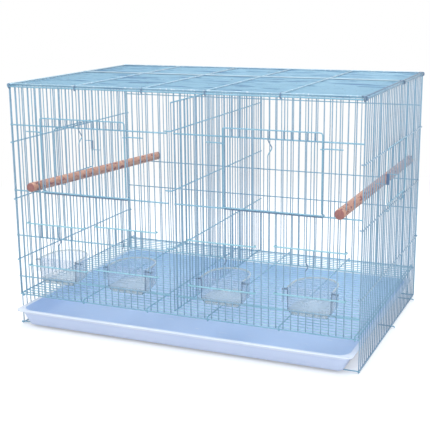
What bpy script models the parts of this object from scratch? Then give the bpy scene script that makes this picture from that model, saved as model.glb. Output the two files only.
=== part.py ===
"""A double breeding cage of welded wire: six hooked panels, sliding doors, cups, perches, divider and tray."""

from math import cos, pi, sin

import bpy

for old in list(bpy.data.objects):
    bpy.data.objects.remove(old, do_unlink=True)

# the box, in metres. It stands at height 0, with the middle of all that it covers at x = y = 0
width = 0.610
depth = 0.406
gaps_across = 50
gaps_deep = 33
pitch = width / gaps_across
wire = 0.0022
clear = 0.0003
half = wire / 2
beside = wire + clear  # centre to centre of two loose wires that touch
weld_gap = 0.00005
layer = wire + weld_gap  # centre to centre of an inner wire and the rail outside it
slim = 0.0010  # how far a hook's end stops short of closing

side = width / 2
corner_inset = 0.0032  # from the front or back panel's uprights to a side panel's first

# heights of the rails of each panel, from the photograph
floor_rail = 0.0552
feeder_sill = 0.0881
feeder_head = 0.1624
door_sill = 0.2421
top_rail = 0.4193
front_band = 0.0641  # from the doors' head rail to the top rail
door_head = top_rail - front_band
front_rails = (floor_rail, feeder_sill, feeder_head, door_sill, door_head, top_rail)
back_low = 0.1713
back_mid = 0.2256
back_band = 0.0549  # from the back panel's highest inner rail to the top rail
back_rails = (floor_rail, back_low, back_mid, top_rail - back_band)
side_rail_low = 0.1180
nest_sill = 0.2261
nest_head = 0.3247

# which upright wires stand each side of an opening
main_jambs = ((5, 18), (32, 45))
feeder_jambs = ((3, 10), (14, 21), (28, 35), (40, 47))
slot_jambs = (24, 25)
nest_jambs = (11, 22)
tie_places = (0.5, 10.5, 20.5, 29.5, 39.5, 49.5)  # roof and floor rods, in gaps from the left
cross_places = (0, 20, 33)  # roof rods from side to side, in roof wires from the front

# loose pieces on the front
door_out = 0.0052
door_top_lap = 0.0138
door_top = door_head + door_top_lap
door_bottom = door_sill + beside
guide_drop = 0.0102
guide_height = door_head - guide_drop
guide_reach = 2  # uprights out from the jamb
kink_wires = (11, 38)
kink_drop = 0.0242
kink_tall = 0.0210
kink_low = door_head - kink_drop
kink_high = kink_low + kink_tall
kink_side = 0.0050
feeder_out = 0.0026
feeder_bottoms = (0.1105, 0.1160, 0.1094, 0.1136)
feeder_door_height = 0.0755
feeder_kink_wires = (7, 17, 32, 43)
feeder_kink_drop = 0.0320
feeder_kink_tall = 0.0110
feeder_kink_side = 0.0040

cup_half_width = 0.0370
cup_deep = 0.0700
cup_set_back = 0.0030
cup_shifts = (-0.0040, -0.0040, -0.0027, -0.0019)  # how far each hangs off the middle of its opening
cup_top = 0.1240
cup_shoulder = 0.0880
cup_bottom = 0.0800
cup_wall = 0.0018
cup_floor_share = 0.80
cup_shoulder_share = 0.97
cup_arc_steps = 14
cup_straight_share = 0.42  # how much of the depth the sides run straight
ear_low = 0.1000
ear_high = 0.1220
ear_back = 0.0044
ear_front = 0.0010

perch_radius = 0.0080
perch_sides = 16
perch_neck = 0.0045  # half the width left between the two grooves at each end
perch_groove = 0.0018  # half the length of a groove
perch_ease = 0.0003
perch_end = 0.0150  # how far it stands out of the front wires
perch_end_back = 0.0060
perch_ends = (  # gaps from the left and height, in front then at the back
    ("perch_left", 3.5, 0.2515, 5.5, 0.2380),
    ("perch_right", 47.5, 0.2515, 48.5, 0.2620),
)

divider_gap = 24.5
divider_drop = 0.0163
divider_band = 0.0444
divider_top = top_rail - divider_drop
divider_mids = (0.1668, 0.2630, divider_top - divider_band)
divider_out = 0.0034

tray_margin = 0.0038
tray_corner = 0.0100
tray_half_width = side - tray_margin
tray_front = -0.0275
tray_behind = 0.0025  # clear of the back wires
tray_back = depth - tray_behind
tray_rim_high = 0.0340
tray_lip = 0.0060
tray_lip_thick = 0.0025
tray_low = 0.0050
tray_floor = 0.0025
tray_wall = 0.0025
tray_slope_front = 0.0090
tray_slope_side = 0.0122
tray_slope_back = 0.0090

runner_gaps = (17.5, 30.5)  # between the side panels' uprights
runner_past = 0.0070

nest_out = 0.0046
nest_top_lap = 0.0032
nest_bottom_lap = 0.0100
nest_loop_places = (12.5, 20.5)
latch_low_share = 0.425
latch_high_share = 0.628
latch_low = nest_sill + (nest_head - nest_sill) * latch_low_share
latch_high = nest_sill + (nest_head - nest_sill) * latch_high_share
latch_bore = 0.0016
latch_wall = 0.0014
latch_arm = 0.0150
latch_arm_inset = 0.0020

cut_digits = 6

# from front to back: the tray's rim, the front panel, the back panel and the side loops round it
front = (-tray_front - layer - beside - half - depth) / 2
back = front + depth
first_deep = front + corner_inset
last_deep = back - corner_inset
deep_pitch = (last_deep - first_deep) / gaps_deep


def across(gap):
    """x of a point a number of gaps from the left edge."""
    return -side + pitch * gap


def deep(gap):
    """y of a point a number of gaps back from a side panel's first upright."""
    return first_deep + deep_pitch * gap


def path(*points):
    """Boxes round a wire that runs from point to point, each leg along an axis."""
    legs = zip(points, points[1:])
    return [tuple((min(a, b) - half, max(a, b) + half) for a, b in zip(*leg)) for leg in legs]


def weld(name, boxes):
    """One closed body from boxes that lap each other, made as the outside of the cells they fill."""
    boxes = [tuple((round(low, cut_digits), round(high, cut_digits)) for low, high in box) for box in boxes]
    cuts = [sorted({edge for box in boxes for edge in box[axis]}) for axis in range(3)]
    place = [{edge: count for count, edge in enumerate(row)} for row in cuts]
    filled = set()
    for box in boxes:
        spans = [range(place[axis][box[axis][0]], place[axis][box[axis][1]]) for axis in range(3)]
        filled.update((i, j, k) for i in spans[0] for j in spans[1] for k in spans[2])
    corners = {}
    faces = []
    for cell in filled:
        for axis in range(3):
            for step in (0, 1):
                beyond = list(cell)
                beyond[axis] += 2 * step - 1
                if tuple(beyond) in filled:
                    continue
                u, v = (axis + 1) % 3, (axis + 2) % 3
                turns = ((0, 0), (1, 0), (1, 1), (0, 1)) if step else ((0, 0), (0, 1), (1, 1), (1, 0))
                face = []
                for du, dv in turns:
                    corner = list(cell)
                    corner[axis] += step
                    corner[u] += du
                    corner[v] += dv
                    face.append(corners.setdefault(tuple(corner), len(corners)))
                faces.append(face)
    points = [tuple(cuts[axis][corner[axis]] for axis in range(3)) for corner in corners]
    return body(name, points, faces)


def body(name, points, faces):
    """A mesh object in the scene."""
    mesh = bpy.data.meshes.new(name)
    mesh.from_pydata(points, [], faces)
    mesh.validate()
    piece = bpy.data.objects.new(name, mesh)
    bpy.context.scene.collection.objects.link(piece)
    return piece


def loft(name, rings):
    """A closed body through rings with the same count of points, capped at both ends."""
    count = len(rings[0])
    points = [point for ring in rings for point in ring]
    faces = [list(range(count))[::-1]]
    for level in range(len(rings) - 1):
        for turn in range(count):
            after = (turn + 1) % count
            low, high = level * count, (level + 1) * count
            faces.append([low + turn, low + after, high + after, high + turn])
    faces.append([(len(rings) - 1) * count + turn for turn in range(count)])
    return body(name, points, faces)


def fuse(piece, name, boxes):
    """Joins boxes to a body with a Boolean, from a helper that isn't a piece."""
    helper = weld(name, boxes)
    helper.hide_render = True
    helper.display_type = "WIRE"
    union = piece.modifiers.new(name, "BOOLEAN")
    union.operation = "UNION"
    union.solver = "EXACT"
    union.object = helper


def hook(x, y, height, rail_y, rail_z, way):
    """The end of a front-to-back rod, bent over a rail and under it. way is -1 at the front."""
    reach = rail_y + way * beside
    return path((x, y, height), (x, reach, height), (x, reach, rail_z - beside), (x, rail_y, rail_z - beside))


# front panel: its rails and uprights are welded in one plane
boxes = []
for level, height in enumerate(front_rails):
    if height in (floor_rail, top_rail):
        boxes += path((across(0), front, height), (across(gaps_across), front, height))
        continue
    boxes += path((across(0), front, height), (across(slot_jambs[0]), front, height))
    boxes += path((across(slot_jambs[1]), front, height), (across(gaps_across), front, height))
for count in range(gaps_across + 1):
    for low, high in zip(front_rails, front_rails[1:]):
        openings = {door_sill: main_jambs, feeder_sill: feeder_jambs}.get(low, ())
        if not any(left < count < right for left, right in openings):
            boxes += path((across(count), front, low), (across(count), front, high))
# wire guides for the two main doors, each bent round the door's side wire
for jambs in main_jambs:
    for jamb, way in zip(jambs, (-1, 1)):
        on = front - wire
        outer = across(jamb) + way * beside
        inner = across(jamb) - way * beside
        far = front - door_out - beside
        boxes += path(
            (across(jamb + way * guide_reach), on, guide_height),
            (outer, on, guide_height),
            (outer, far, guide_height),
            (inner, far, guide_height),
            (inner, front - door_out, guide_height),
        )
weld("front_panel", boxes)

# back panel: the rails lie outside the uprights and are welded at the end posts
boxes = path((across(0), back, half), (across(gaps_across), back, half))
boxes += path((across(0), back, top_rail), (across(gaps_across), back, top_rail))
for count in range(gaps_across + 1):
    boxes += path((across(count), back, half), (across(count), back, top_rail))
outside = back + layer
for end in (0, gaps_across):
    boxes += path((across(end), outside, half), (across(end), outside, top_rail))
    for height in (half, top_rail):
        boxes += path((across(end), back, height), (across(end), outside, height))
for height in back_rails:
    boxes += path((across(0), outside, height), (across(gaps_across), outside, height))
weld("back_panel", boxes)

# side panels, each with a nest door opening and loops round the corner uprights
for name, way in (("left_panel", -1), ("right_panel", 1)):
    plane = way * side
    outside = way * (side + layer)
    boxes = path((plane, first_deep, top_rail), (plane, last_deep, top_rail))
    boxes += path((plane, front, half), (plane, last_deep, half))
    for height in (nest_sill, nest_head):
        boxes += path((plane, first_deep, height), (plane, last_deep, height))
    for count in range(gaps_deep + 1):
        y = deep(count)
        if nest_jambs[0] < count < nest_jambs[1]:
            boxes += path((plane, y, half), (plane, y, nest_sill))
            boxes += path((plane, y, nest_head), (plane, y, top_rail))
        else:
            boxes += path((plane, y, half), (plane, y, top_rail))
    boxes += path((outside, first_deep, side_rail_low), (outside, last_deep, side_rail_low))
    for y in (first_deep, last_deep):
        boxes += path((plane, y, side_rail_low), (outside, y, side_rail_low))
    round_in = way * (side - beside)
    round_out = way * (side + beside)
    for height in (side_rail_low, nest_sill, nest_head):
        boxes += path(
            (plane, first_deep, height),
            (round_out, first_deep, height),
            (round_out, front - beside, height),
            (round_in, front - beside, height),
            (round_in, front + slim, height),
        )
    for height in (side_rail_low, nest_head):
        boxes += path(
            (plane, last_deep, height),
            (round_out, last_deep, height),
            (round_out, back + layer + beside, height),
            (round_in, back + layer + beside, height),
            (round_in, back - slim, height),
        )
    weld(name, boxes)

# roof: wires from side to side, with rods over them that hook round the top rails
roof = top_rail + beside
boxes = []
for count in range(gaps_deep + 1):
    y = front + depth * count / gaps_deep
    boxes += path((-side, y, roof), (side, y, roof))
for x in (-side, side):
    boxes += path((x, front, roof), (x, back, roof))
for count in cross_places:
    y = front + depth * count / gaps_deep
    over = side + beside
    low = top_rail - half
    boxes += path((-over, y, low), (-over, y, roof + layer), (over, y, roof + layer), (over, y, low))
for gap in tie_places:
    x = across(gap)
    boxes += path((x, front, roof + layer), (x, back, roof + layer))
    boxes += hook(x, front, roof + layer, front, top_rail, -1)
    boxes += hook(x, back, roof + layer, back, top_rail, 1)
    for y in (front, back):
        boxes += path((x, y, roof), (x, y, roof + layer))
weld("roof_panel", boxes)

# floor grate: the same, inside the sides and over the floor rails
grate = floor_rail + beside
grate_side = side - beside
grate_front = front + beside
grate_back = back - beside
boxes = []
for count in range(gaps_deep + 1):
    y = grate_front + (grate_back - grate_front) * count / gaps_deep
    boxes += path((-grate_side, y, grate), (grate_side, y, grate))
for x in (-grate_side, grate_side):
    boxes += path((x, grate_front, grate), (x, grate_back, grate))
for gap in tie_places:
    x = across(gap)
    boxes += path((x, grate_front, grate + layer), (x, grate_back, grate + layer))
    boxes += hook(x, grate_front, grate + layer, front, floor_rail, -1)
    boxes += hook(x, grate_back, grate + layer, back + layer, floor_rail, 1)
    for y in (grate_front, grate_back):
        boxes += path((x, y, grate), (x, y, grate + layer))
weld("floor_grate", boxes)

# wires under the tray, hooked over the side panels' bottom rails
runner = half + beside
runner_rows = (
    ("tray_runner_front", front),
    ("tray_runner_middle", deep(runner_gaps[0])),
    ("tray_runner_back", deep(runner_gaps[1])),
)
for name, y in runner_rows:
    tip = side + runner_past
    weld(name, path((-tip, y, half), (-tip, y, runner), (tip, y, runner), (tip, y, half)))

# main doors, on the front panel's guides
for number, name in enumerate(("main_door_left", "main_door_right")):
    left, right = main_jambs[number]
    y = front - door_out
    boxes = []
    for height in (door_bottom, door_top):
        boxes += path((across(left), y, height), (across(right), y, height))
    for count in range(left, right + 1):
        x = across(count)
        if count in kink_wires:
            aside = x + kink_side
            boxes += path(
                (x, y, door_bottom),
                (x, y, kink_low),
                (aside, y, kink_low),
                (aside, y, kink_high),
                (x, y, kink_high),
                (x, y, door_top),
            )
            continue
        boxes += path((x, y, door_bottom), (x, y, door_top))
    for jamb, way in ((left, -1), (right, 1)):
        beyond = across(jamb) + way * beside
        short = across(jamb) - way * slim
        boxes += path(
            (across(jamb), y, door_bottom),
            (beyond, y, door_bottom),
            (beyond, front + beside, door_bottom),
            (short, front + beside, door_bottom),
        )
    weld(name, boxes)

# feeder doors, with rods bent round the uprights next to the jambs
for number, (left, right) in enumerate(feeder_jambs):
    y = front - feeder_out
    low = feeder_bottoms[number]
    high = low + feeder_door_height
    boxes = []
    for height in (low, high):
        boxes += path((across(left - 1), y, height), (across(right + 1), y, height))
        for upright, way in ((left - 1, -1), (right + 1, 1)):
            beyond = across(upright) + way * beside
            short = across(upright) - way * slim
            boxes += path(
                (across(upright), y, height),
                (beyond, y, height),
                (beyond, front + beside, height),
                (short, front + beside, height),
            )
    kink_top = high - feeder_kink_drop + feeder_kink_tall
    kink_base = high - feeder_kink_drop
    for count in range(left + 1, right):
        x = across(count)
        if count in feeder_kink_wires:
            aside = x + feeder_kink_side
            boxes += path(
                (x, y, low),
                (x, y, kink_base),
                (aside, y, kink_base),
                (aside, y, kink_top),
                (x, y, kink_top),
                (x, y, high),
            )
            continue
        boxes += path((x, y, low), (x, y, high))
    weld("feeder_door_%d" % (number + 1), boxes)


def cup_ring(middle, height, share, wall):
    """A D-shaped ring of a cup: a flat front, straight sides and a half oval behind them."""
    wide = cup_half_width * share - wall
    reach = cup_deep * share - 2 * wall
    near = front + cup_set_back + wall
    straight = near + reach * cup_straight_share
    bulge = near + reach - straight
    turns = [pi * step / cup_arc_steps for step in range(cup_arc_steps + 1)]
    arc = [(middle + wide * cos(turn), straight + bulge * sin(turn), height) for turn in turns]
    return arc + [(middle - wide, near, height), (middle + wide, near, height)]


# feeder cups, inside the feeder openings, with ears round the jambs
for number, (left, right) in enumerate(feeder_jambs):
    middle = (across(left) + across(right)) / 2 + cup_shifts[number]
    cup = loft(
        "feeder_cup_%d" % (number + 1),
        (
            cup_ring(middle, cup_bottom, cup_floor_share, 0),
            cup_ring(middle, cup_shoulder, cup_shoulder_share, 0),
            cup_ring(middle, cup_top, 1, 0),
            cup_ring(middle, cup_top, 1, cup_wall),
            cup_ring(middle, cup_shoulder, cup_shoulder_share, cup_wall),
            cup_ring(middle, cup_bottom + cup_wall, cup_floor_share, cup_wall),
        ),
    )
    ears = []
    for jamb, way in ((left, -1), (right, 1)):
        post = across(jamb)
        wall_x = middle + way * (cup_half_width * cup_shoulder_share - cup_wall / 2)
        past = post + way * (half + clear)
        tip = past + way * wire
        behind = front + half + clear
        far = front + ear_back
        ears.append(((min(wall_x, tip), max(wall_x, tip)), (behind, far), (ear_low, ear_high)))
        ears.append(((min(past, tip), max(past, tip)), (front - ear_front, far), (ear_low, ear_high)))
    fuse(cup, "cup_ears_%d" % (number + 1), ears)

# perches, grooved near each end for two uprights to stand in
for name, gap_front, height_front, gap_back, height_back in perch_ends:
    start = (across(gap_front), front, height_front)
    finish = (across(gap_back), back, height_back)

    def perch_ring(y, narrow, start=start, finish=finish):
        share = (y - front) / depth
        x, z = (start[axis] + (finish[axis] - start[axis]) * share for axis in (0, 2))
        turns = [2 * pi * (step + 0.5) / perch_sides for step in range(perch_sides)]
        limit = perch_neck if narrow else perch_radius
        wide = [max(-limit, min(limit, perch_radius * cos(turn))) for turn in turns]
        return [(x - out, y, z + perch_radius * sin(turn)) for out, turn in zip(wide, turns)]

    rings = [perch_ring(front - perch_end, False)]
    for y in (front, back):
        rings.append(perch_ring(y - perch_groove - perch_ease, False))
        rings.append(perch_ring(y - perch_groove, True))
        rings.append(perch_ring(y + perch_groove, True))
        rings.append(perch_ring(y + perch_groove + perch_ease, False))
    rings.append(perch_ring(back + perch_end_back, False))
    loft(name, rings)

# divider, which stands in the slot between the two middle uprights and hooks over one
x = across(divider_gap)
beside_x = x + layer
divider_low = grate + beside
boxes = []
for height in (divider_low, divider_top):
    boxes += path((x, first_deep, height), (x, last_deep, height))
for count in range(gaps_deep + 1):
    boxes += path((x, deep(count), divider_low), (x, deep(count), divider_top))
for height in divider_mids:
    far = front - divider_out
    catch = across(slot_jambs[0]) - beside
    boxes += path((x, last_deep, height), (beside_x, last_deep, height), (beside_x, first_deep, height))
    boxes += path((beside_x, first_deep, height), (beside_x, far, height), (catch, far, height))
    boxes += path((catch, far, height), (catch, front - slim, height))
    boxes += path((x, first_deep, height), (beside_x, first_deep, height))
weld("divider", boxes)


def tray_ring(height, inset_side, inset_front, inset_back):
    """A rectangle of the tray with its corners cut off, set in from its rim."""
    edge = tray_half_width - inset_side
    near = front + tray_front + inset_front
    far = front + tray_back - inset_back
    inner = edge - tray_corner
    return [
        (-inner, near, height),
        (inner, near, height),
        (edge, near + tray_corner, height),
        (edge, far - tray_corner, height),
        (inner, far, height),
        (-inner, far, height),
        (-edge, far - tray_corner, height),
        (-edge, near + tray_corner, height),
    ]


# tray, with sloping walls and a flat rim
wall_side = tray_lip + tray_slope_side
wall_front = tray_lip + tray_slope_front
wall_back = tray_lip + tray_slope_back
lip_under = tray_rim_high - tray_lip_thick
loft(
    "tray",
    (
        tray_ring(tray_low, wall_side, wall_front, wall_back),
        tray_ring(lip_under, tray_lip, tray_lip, tray_lip),
        tray_ring(lip_under, 0, 0, 0),
        tray_ring(tray_rim_high, 0, 0, 0),
        tray_ring(tray_rim_high, tray_lip + tray_wall, tray_lip + tray_wall, tray_lip + tray_wall),
        tray_ring(tray_low + tray_floor, wall_side + tray_wall, wall_front + tray_wall, wall_back + tray_wall),
    ),
)

# nest doors, hung by loops on the sill rail, each with a sliding latch on a side wire
nest_doors = (
    ("nest_door_left", "nest_latch_left", -1, nest_jambs[1], -1),
    ("nest_door_right", "nest_latch_right", 1, nest_jambs[0], 1),
)
for name, latch_name, way, latch_jamb, inward in nest_doors:
    plane = way * (side + nest_out)
    inside = way * (side - nest_out)
    low = nest_sill + nest_bottom_lap
    high = nest_head + nest_top_lap
    boxes = []
    for height in (low, high):
        boxes += path((plane, deep(nest_jambs[0]), height), (plane, deep(nest_jambs[1]), height))
    for count in range(nest_jambs[0], nest_jambs[1] + 1):
        boxes += path((plane, deep(count), low), (plane, deep(count), high))
    for gap in nest_loop_places:
        y = deep(gap)
        under = nest_sill - nest_out
        over = nest_sill + nest_out
        boxes += path((plane, y, low), (plane, y, under), (inside, y, under), (inside, y, over))
    weld(name, boxes)
    y = deep(latch_jamb)
    spread = latch_bore + latch_wall
    tube = (latch_low, latch_high)
    boxes = []
    for sign in (-1, 1):
        near, far = sorted((sign * latch_bore, sign * spread))
        boxes.append(((plane + near, plane + far), (y - spread, y + spread), tube))
        boxes.append(((plane - spread, plane + spread), (y + near, y + far), tube))
    lever = sorted((plane + way * latch_bore, plane + way * latch_arm))
    arm_high = latch_high - latch_arm_inset
    boxes.append((tuple(lever), (y - half, y + half), (arm_high - wire, arm_high)))
    catch = sorted((plane - way * latch_bore, plane - way * latch_arm))
    catch_y = y + inward * spread - half
    arm_low = latch_low + latch_arm_inset
    boxes.append((tuple(catch), (catch_y, catch_y + wire), (arm_low, arm_low + wire)))
    weld(latch_name, boxes)
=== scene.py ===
import random
from math import cos, pi, radians, sin, tau

import bpy
from mathutils import Matrix, Vector, noise


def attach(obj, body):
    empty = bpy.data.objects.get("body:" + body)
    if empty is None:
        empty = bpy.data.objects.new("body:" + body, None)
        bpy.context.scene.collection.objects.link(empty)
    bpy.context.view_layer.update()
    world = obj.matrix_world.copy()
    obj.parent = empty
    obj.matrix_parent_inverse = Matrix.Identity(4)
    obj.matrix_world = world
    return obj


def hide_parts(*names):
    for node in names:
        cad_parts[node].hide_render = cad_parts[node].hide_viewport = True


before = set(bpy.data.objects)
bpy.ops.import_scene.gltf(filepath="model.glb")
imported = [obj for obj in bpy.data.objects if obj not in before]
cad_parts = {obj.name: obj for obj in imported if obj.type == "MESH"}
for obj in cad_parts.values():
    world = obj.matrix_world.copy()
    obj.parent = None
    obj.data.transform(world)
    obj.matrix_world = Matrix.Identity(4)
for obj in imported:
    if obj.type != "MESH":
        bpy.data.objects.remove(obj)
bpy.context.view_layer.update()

random.seed(11)

# the wire box, in metres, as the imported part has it
cage = {
    "width": 0.610,
    "front": -0.192175,
    "back": 0.213825,
    "gapsAcross": 50,
    "gapsDeep": 33,
    "inset": 0.0032,
    "beside": 0.0025,  # two loose wires that touch
    "layer": 0.0020,  # a rail welded on an upright
    "wireRadius": 0.00090,
    "railRadius": 0.00118,
    "railPast": 0.0008,  # how far a rail's end stands past its last upright
    "weldPast": 0.0012,  # how far a cut upright stands past the rail that holds it
    "bow": 0.00035,  # how far an upright strays from straight
    "bend": 0.0021,  # inner bends of guides and posts
    "hookBend": 0.0020,
    "kinkBend": 0.0016,
    "topRail": 0.4193,
    "bottomRail": 0.0013,
    "tieGaps": (0.5, 10.5, 20.5, 29.5, 39.5, 49.5),
}
side = cage["width"] / 2
front = cage["front"]
back = cage["back"]
pitch = cage["width"] / cage["gapsAcross"]
firstDeep = front + cage["inset"]
lastDeep = back - cage["inset"]
deepPitch = (lastDeep - firstDeep) / cage["gapsDeep"]
beside = cage["beside"]
layer = cage["layer"]
thin = cage["wireRadius"]
thick = cage["railRadius"]
railPast = cage["railPast"]
weldPast = cage["weldPast"]
topRail = cage["topRail"]
bottomRail = cage["bottomRail"]


def across(gap):
    return -side + pitch * gap


def deep(gap):
    return firstDeep + deepPitch * gap


# shader groups that several finishes share
def newGroup(name, inputs, outputs):
    group = bpy.data.node_groups.new(name, "ShaderNodeTree")
    for label, kind, value in inputs:
        socket = group.interface.new_socket(name=label, in_out="INPUT", socket_type=kind)
        socket.default_value = value
    for label, kind in outputs:
        group.interface.new_socket(name=label, in_out="OUTPUT", socket_type=kind)
    return group, group.nodes.new("NodeGroupInput"), group.nodes.new("NodeGroupOutput")


def feed(tree, socket, value):
    if hasattr(value, "is_output"):
        tree.links.new(value, socket)
    else:
        socket.default_value = value


def addNode(tree, kind, settings=None, **values):
    node = tree.nodes.new(kind)
    for key, value in (settings or {}).items():
        setattr(node, key, value)
    for label, value in values.items():
        feed(tree, node.inputs[label.replace("_", " ")], value)
    return node


def placeGroup(tree, group, **values):
    node = tree.nodes.new("ShaderNodeGroup")
    node.node_tree = group
    for label, value in values.items():
        feed(tree, node.inputs[label], value)
    return node


def combine(tree, operation, first, second):
    node = addNode(tree, "ShaderNodeMath", {"operation": operation})
    feed(tree, node.inputs[0], first)
    feed(tree, node.inputs[1], second)
    return node.outputs[0]


def stretchedPlace(tree, stretch):
    place = addNode(tree, "ShaderNodeTexCoord")
    node = addNode(tree, "ShaderNodeVectorMath", {"operation": "MULTIPLY"})
    feed(tree, node.inputs[0], place.outputs["Object"])
    feed(tree, node.inputs[1], stretch)
    return node.outputs[0]


def mixColour(tree, mask, first, second):
    node = addNode(tree, "ShaderNodeMix", {"data_type": "RGBA"})
    for number, value in ((0, mask), (6, first), (7, second)):  # 6 and 7 are its colours
        feed(tree, node.inputs[number], value)
    return node.outputs[2]


def rangeOf(tree, value, low, high):
    return addNode(tree, "ShaderNodeMapRange", Value=value, To_Min=low, To_Max=high).outputs["Result"]


floatKind, colourKind, vectorKind = "NodeSocketFloat", "NodeSocketColor", "NodeSocketVector"

# two tones of one colour in soft clouds
mottle, into, outOf = newGroup(
    "mottle",
    [
        ("Tone", colourKind, (1, 1, 1, 1)),
        ("Second", colourKind, (0, 0, 0, 1)),
        ("Scale", floatKind, 20.0),
        ("Amount", floatKind, 0.5),
    ],
    [("Colour", colourKind), ("Clouds", floatKind)],
)
place = addNode(mottle, "ShaderNodeTexCoord").outputs["Object"]
clouds = addNode(
    mottle, "ShaderNodeTexNoise", Vector=place, Scale=into.outputs["Scale"], Detail=4.0, Roughness=0.6
)
spread = addNode(mottle, "ShaderNodeMapRange", Value=clouds.outputs["Fac"], From_Min=0.32, From_Max=0.68)
share = combine(mottle, "MULTIPLY", spread.outputs["Result"], into.outputs["Amount"])
blend = mixColour(mottle, share, into.outputs["Tone"], into.outputs["Second"])
mottle.links.new(blend, outOf.inputs["Colour"])
mottle.links.new(spread.outputs["Result"], outOf.inputs["Clouds"])

# small chips, scuffs or dark marks: 1 where a spot lies
spots, into, outOf = newGroup(
    "spots",
    [
        ("Scale", floatKind, 200.0),
        ("Stretch", vectorKind, (1, 1, 1)),
        ("Cover", floatKind, 0.3),
        ("Edge", floatKind, 0.05),
    ],
    [("Mask", floatKind)],
)
place = stretchedPlace(spots, into.outputs["Stretch"])
grains = addNode(spots, "ShaderNodeTexNoise", Vector=place, Scale=into.outputs["Scale"], Detail=3.0)
threshold = combine(spots, "SUBTRACT", 1.0, into.outputs["Cover"])
above = combine(spots, "ADD", threshold, into.outputs["Edge"])
cut = addNode(
    spots,
    "ShaderNodeMapRange",
    {"interpolation_type": "SMOOTHSTEP"},
    Value=grains.outputs["Fac"],
    From_Min=threshold,
    From_Max=above,
)
spots.links.new(cut.outputs["Result"], outOf.inputs["Mask"])

# fine height for bump: a moulded or sprayed skin
skin, into, outOf = newGroup(
    "skin",
    [("Scale", floatKind, 500.0), ("Stretch", vectorKind, (1, 1, 1)), ("Depth", floatKind, 1.0)],
    [("Height", floatKind)],
)
place = stretchedPlace(skin, into.outputs["Stretch"])
grains = addNode(skin, "ShaderNodeTexNoise", Vector=place, Scale=into.outputs["Scale"], Detail=2.0)
height = combine(skin, "MULTIPLY", grains.outputs["Fac"], into.outputs["Depth"])
skin.links.new(height, outOf.inputs["Height"])


def newMaterial(name):
    material = bpy.data.materials.new(name)
    material.use_nodes = True
    tree = material.node_tree
    return material, tree, tree.nodes["Principled BSDF"]


def addBump(tree, shader, height, distance, strength):
    bump = addNode(tree, "ShaderNodeBump", Height=height, Distance=distance, Strength=strength)
    tree.links.new(bump.outputs["Normal"], shader.inputs["Normal"])


# the powder coat on all the wires
coatFinish = {
    "tone": (0.255, 0.410, 0.550, 1),
    "second": (0.195, 0.330, 0.465, 1),
    "chipAndGlint": (0.150, 0.205, 0.275, 1),
    "chipAndGlintCover": 0.32,
    "chipAndGlintScale": 310.0,
    "cloudScale": 38.0,
    "roughness": (0.30, 0.48),
    "coat": 0.25,
    "coatRoughness": 0.22,
    "peelScale": 900.0,
}
# where a coat differs from the plain one
coatTones = {
    "wireCoat": {},
    # painted light: a paler coat for the back panel's and left panel's uprights, where light falls through
    "paleCoat": {"tone": (0.265, 0.470, 0.610, 1), "second": (0.205, 0.385, 0.525, 1)},
    # painted light: a paler coat for the roof's rods, lit from above; its streaks are painted shade
    "roofCoat": {
        "tone": (0.265, 0.470, 0.610, 1),
        "second": (0.215, 0.400, 0.545, 1),
        "streak": (0.115, 0.255, 0.420, 1),  # rods that lie deeper in one another's shade
    },
    "tieCoat": {  # painted highlights: a lighter tone, and pale spots for glints on the tie rods
        "tone": (0.350, 0.550, 0.675, 1),
        "second": (0.270, 0.460, 0.600, 1),
        "chipAndGlint": (0.640, 0.740, 0.810, 1),
        "chipAndGlintCover": 0.42,
    },
    # painted light: a lighter coat for the floor grate, against the shade the cage casts on it
    "grateCoat": {"tone": (0.420, 0.700, 0.800, 1), "second": (0.355, 0.615, 0.735, 1)},
    "railCoat": {"tone": (0.250, 0.480, 0.620, 1), "second": (0.185, 0.375, 0.515, 1)},
    # painted light: a paler coat for wires that would look too dark in shade
    "faintCoat": {
        "tone": (0.460, 0.620, 0.710, 1),
        "second": (0.400, 0.560, 0.660, 1),
        "chipAndGlintCover": 0.20,
    },
    # painted highlight: a brighter coat for the feeder doors' rods
    "brightCoat": {"tone": (0.310, 0.590, 0.690, 1), "second": (0.250, 0.500, 0.630, 1)},
    "paintedShadeCoat": {  # painted shade: a darker coat for kinks, hooks, loops and sills that lie in shade
        "tone": (0.135, 0.235, 0.370, 1),
        "second": (0.190, 0.290, 0.410, 1),
        "chipAndGlintCover": 0.44,
    },
}


def powderCoat(name):
    finish = {**coatFinish, **coatTones[name]}
    material, tree, shader = newMaterial(name)
    colour = placeGroup(
        tree, mottle, Tone=finish["tone"], Second=finish["second"], Scale=finish["cloudScale"], Amount=0.65
    )
    # spots: real dark chips on most coats, painted highlights on the tie rods
    chipsAndGlints = placeGroup(
        tree, spots, Scale=finish["chipAndGlintScale"], Stretch=(1, 1, 1), Cover=finish["chipAndGlintCover"], Edge=0.04
    )
    ground = colour.outputs["Colour"]
    if "streak" in finish:
        shade = placeGroup(tree, spots, Scale=150.0, Stretch=(0.085, 1, 1), Cover=0.455, Edge=0.08)
        ground = mixColour(tree, shade.outputs["Mask"], ground, finish["streak"])
    chippedAndGlinting = mixColour(tree, chipsAndGlints.outputs["Mask"], ground, finish["chipAndGlint"])
    tree.links.new(chippedAndGlinting, shader.inputs["Base Color"])
    tree.links.new(rangeOf(tree, colour.outputs["Clouds"], *finish["roughness"]), shader.inputs["Roughness"])
    peel = placeGroup(tree, skin, Scale=finish["peelScale"], Depth=1.0)
    addBump(tree, shader, peel.outputs["Height"], 0.00015, 0.35)
    shader.inputs["Coat Weight"].default_value = finish["coat"]
    shader.inputs["Coat Roughness"].default_value = finish["coatRoughness"]
    return material


wireCoat = powderCoat("wireCoat")
paleCoat = powderCoat("paleCoat")
roofCoat = powderCoat("roofCoat")
tieCoat = powderCoat("tieCoat")
grateCoat = powderCoat("grateCoat")
railCoat = powderCoat("railCoat")
faintCoat = powderCoat("faintCoat")
brightCoat = powderCoat("brightCoat")
paintedShadeCoat = powderCoat("paintedShadeCoat")

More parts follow.
